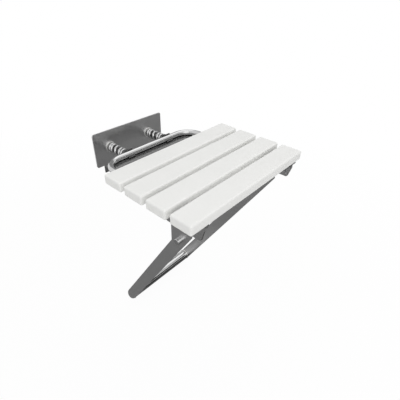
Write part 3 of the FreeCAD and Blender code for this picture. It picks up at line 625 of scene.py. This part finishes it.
STITCHES_X, STITCH_HALF = (-98, 0, 98), 12
CHANNEL_Y, CHANNEL_Z, CHANNEL_BEAD = -73.4, 2.4, 1.35
EAR_X, EAR_Z, EAR_FRONT, EAR_BACK, EAR_BEAD = 128.1, 3.1, -322, -301, 1.3
beads = bmesh.new()
for x in STITCHES_X:
    weld_bead(beads, straight((x - STITCH_HALF, CHANNEL_Y, CHANNEL_Z),
                              (x + STITCH_HALF, CHANNEL_Y, CHANNEL_Z)), CHANNEL_BEAD, closed=False)
for side in (-1, 1):
    weld_bead(beads, straight((side * EAR_X, EAR_FRONT, EAR_Z),
                              (side * EAR_X, EAR_BACK, EAR_Z)), EAR_BEAD, closed=False)
place_piece("seat_weld_beads", beads, weld_steel, "seat")

# %% [markdown]
# ## Studio floor
# The object stands on a pale floor that runs out to white. More light on it would make it white
# too, but would burn out the white slats. So the floor's shader is part lit surface, which keeps
# the object's shadow, and part even white, which only the camera and reflections see. The share of
# even white grows away from the object.

# %% Floor
FLOOR_RADIUS_M = 30.0
FLOOR_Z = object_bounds()[0][2]
GAP = 0.1 * MM               # keeps floor, mat and foot from lying in exactly one plane


def sees_background(tree):
    """1 for rays that show the background, straight, mirrored or through glass, and 0 for light."""
    path = add_node(tree, "ShaderNodeLightPath")
    seen = path.outputs["Is Camera Ray"]
    for ray in ("Is Glossy Ray", "Is Transmission Ray"):
        seen = add_node(tree, "ShaderNodeMath", {
            0: seen, 1: path.outputs[ray]}, operation="MAXIMUM").outputs[0]
    return seen


disc = bmesh.new()
bmesh.ops.create_circle(disc, cap_ends=True, segments=64, radius=FLOOR_RADIUS_M)
mesh = bpy.data.meshes.new("studio floor")
disc.to_mesh(mesh)
disc.free()
floor = bpy.data.objects.new("studio_floor", mesh)
floor.location.z = FLOOR_Z - 2 * GAP
scene.collection.objects.link(floor)

floor_finish, tree, place, output = new_material("pale studio floor")
# Within 0.4 m, 5 % of what is seen of the floor is lit and holds the shadow; from 1.4 m on, none.
away = add_node(tree, "ShaderNodeVectorMath", {0: place}, operation="LENGTH")
fade = add_node(tree, "ShaderNodeMapRange", {
    "Value": away.outputs["Value"], "From Min": 0.4, "From Max": 1.4,
    "To Min": 0.95, "To Max": 1.0})
share = add_node(tree, "ShaderNodeMath", {
    0: sees_background(tree), 1: fade.outputs[0]}, operation="MULTIPLY")
lit = add_node(tree, "ShaderNodeBsdfDiffuse", {"Color": linear("#E6E6E6")})
even = add_node(tree, "ShaderNodeEmission", {"Color": linear("#FFFFFF"), "Strength": 1.0})
mix = add_node(tree, "ShaderNodeMixShader", {
    0: share.outputs[0], 1: lit.outputs[0], 2: even.outputs[0]})
tree.links.new(mix.outputs[0], output.inputs[0])
mesh.materials.append(floor_finish)
print("floor at", round(FLOOR_Z, 4))

# %% [markdown]
# ## Light
# One strong lamp would draw hard shadows that the picture doesn't have. Soft light from all round
# comes from the world instead, a little under full strength so that white plastic keeps its shape.
# One softbox high at the back right models the slats' tops, and one at the front left lifts the
# faces that the camera sees.

# %% World and softboxes
SEAT_MIDDLE = Vector((0, -0.2, 0))
world = bpy.data.worlds.new("studio")
scene.world = world
world.use_nodes = True
tree = world.node_tree
tree.nodes.clear()
strength = add_node(tree, "ShaderNodeMapRange", {
    "Value": sees_background(tree), "To Min": 0.86, "To Max": 1.0})
sky = add_node(tree, "ShaderNodeBackground", {
    "Color": linear("#FFFFFF"), "Strength": strength.outputs[0]})
add_node(tree, "ShaderNodeOutputWorld", {0: sky.outputs[0]})


def softbox(name, direction, distance, size, power):
    """A square lamp that stands off the seat in a direction and faces its middle."""
    lamp = bpy.data.objects.new(name, bpy.data.lights.new(name, "AREA"))
    lamp.data.size = size
    lamp.data.energy = power
    towards = Vector(direction).normalized()
    lamp.location = SEAT_MIDDLE + towards * distance
    lamp.rotation_euler = towards.to_track_quat("Z", "Y").to_euler()
    scene.collection.objects.link(lamp)


softbox("softbox back right", (0.5, 0.2, 0.95), distance=2.4, size=1.5, power=5)
softbox("softbox front left", (-0.45, -0.85, 0.6), distance=2.6, size=1.6, power=12)

# %% [markdown]
# ## Cards for the reflections
# Polished metal is drawn by what it reflects. In plain white surroundings it would look like white
# paint, and a darker metal would look dirty, so studios stand cards round it. Here only reflections
# see them, and none of them dims the light on the white slats. A black card low at the front right
# gives every tube the dark line under its highlight, and a grey one at the back right tones the
# channel. A grey mat under the object gives plate, arms and brackets their even mid grey, and the
# small black mat is what the foot tube's lower half looks down at.

# %% Cards
CARD_HALF = 0.5              # a card is drawn 1 m square and then stretched to its size
FADE_FROM = 0.33             # where a card with a rim starts to fade, on the same scale
UPWARDS = (0.0, 0.0, 1.0)


def card_paint(name, grey, rim):
    """An even glow, which fades to the rim's grey so that the card's edge shows no step."""
    paint, tree, place, output = new_material(name)
    glow = add_node(tree, "ShaderNodeEmission", {"Color": linear(grey), "Strength": 1.0})
    if rim:
        off_middle = add_node(tree, "ShaderNodeVectorMath", {0: place}, operation="ABSOLUTE")
        part = add_node(tree, "ShaderNodeSeparateXYZ", {0: off_middle.outputs[0]})
        out = add_node(tree, "ShaderNodeMath", {
            0: part.outputs["X"], 1: part.outputs["Y"]}, operation="MAXIMUM")
        fade = add_node(tree, "ShaderNodeMapRange", {
            "Value": out.outputs[0], "From Min": FADE_FROM, "From Max": CARD_HALF})
        blend = add_node(tree, "ShaderNodeMix", {
            "Factor": fade.outputs[0], MIX_A: linear(grey), MIX_B: linear(rim)}, data_type="RGBA")
        tree.links.new(blend.outputs[MIX_RESULT], glow.inputs["Color"])
    tree.links.new(glow.outputs[0], output.inputs[0])
    return paint


def studio_card(name, grey, middle, facing, width, height, rim=None):
    """A flat card that only reflections see."""
    face = bmesh.new()
    bmesh.ops.create_grid(face, x_segments=1, y_segments=1, size=CARD_HALF)
    mesh = bpy.data.meshes.new(name)
    face.to_mesh(mesh)
    face.free()
    mesh.materials.append(card_paint(name, grey, rim))
    card = bpy.data.objects.new(name.replace(" ", "_"), mesh)
    card.location = middle
    card.rotation_euler = Vector(facing).to_track_quat("Z", "Y").to_euler()
    card.scale = (width, height, 1.0)
    card.visible_camera = card.visible_diffuse = False
    card.visible_shadow = card.visible_transmission = False
    scene.collection.objects.link(card)


studio_card("black card front right", "#333333", (1.3, -1.9, 0.35), (-1.0, 1.2, 0.0), 3.4, 1.15)
studio_card("grey card back right", "#A0A0A0", (1.35, 1.3, 0.95), (-1.0, -1.1, 0.0), 3.0, 1.1)
studio_card("grey mat", "#828282", (0.5, -0.65, FLOOR_Z - GAP), UPWARDS, 4.4, 3.8, rim="#FFFFFF")
studio_card("black mat", "#303030", (0.16, -0.33, FLOOR_Z), UPWARDS, 0.5, 0.5, rim="#828282")

# %% [markdown]
# ## Output
# Colours are shown as they are, with no film curve. Every piece added here has to stay inside it.

# %% Finish
scene.view_settings.view_transform = "Standard"
